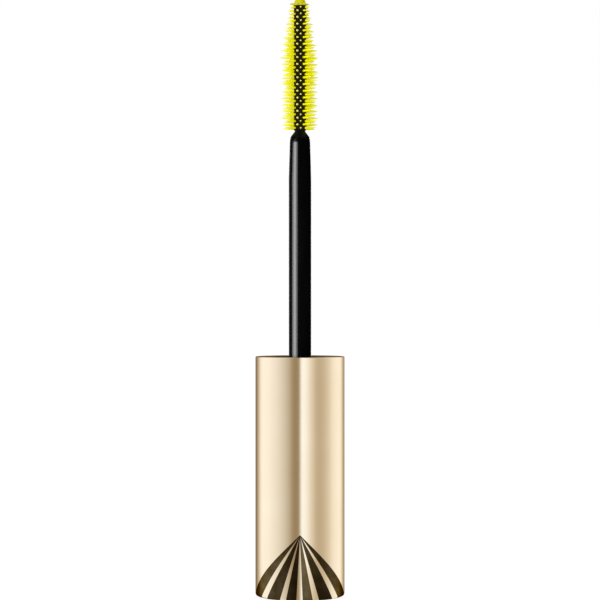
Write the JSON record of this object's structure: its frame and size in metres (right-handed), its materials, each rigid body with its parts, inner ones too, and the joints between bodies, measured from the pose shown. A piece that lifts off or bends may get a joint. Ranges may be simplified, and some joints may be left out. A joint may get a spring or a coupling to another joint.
{
  "type": "mascara applicator wand",
  "caption": "Mascara wand: gold metal cap with threaded liner, glossy black stem and slim moulded brush with yellow bristles in staggered rows.",
  "frame": {"origin": "centre of the cap's closed end, which the wand stands on", "axes": "+Z along the wand's axis from the cap's closed end to the tip of the brush; -Y is the side with the striped print on the cap and the two columns of short bristles"},
  "size_m": [0.017, 0.017, 0.1137],
  "materials": {
    "gold_shell": "anodised pale gold, satin sheen",
    "liner_plastic": "moulded black polypropylene",
    "weight_steel": "plain turned steel",
    "seal_foam": "white polyethylene foam",
    "stem_plastic": "polished black",
    "core_plastic": "moulded black, soft gloss",
    "bristle_elastomer": "moulded lemon-yellow elastomer, slightly translucent"
  },
  "bodies": {
    "root": {"outer_shell": "gold_shell", "inner_cap": "liner_plastic", "cap_weight": "weight_steel", "neck_seal": "seal_foam", "stem": "stem_plastic", "brush_core": "core_plastic", "brush_bristles": "bristle_elastomer"}
  },
  "joints": []
}
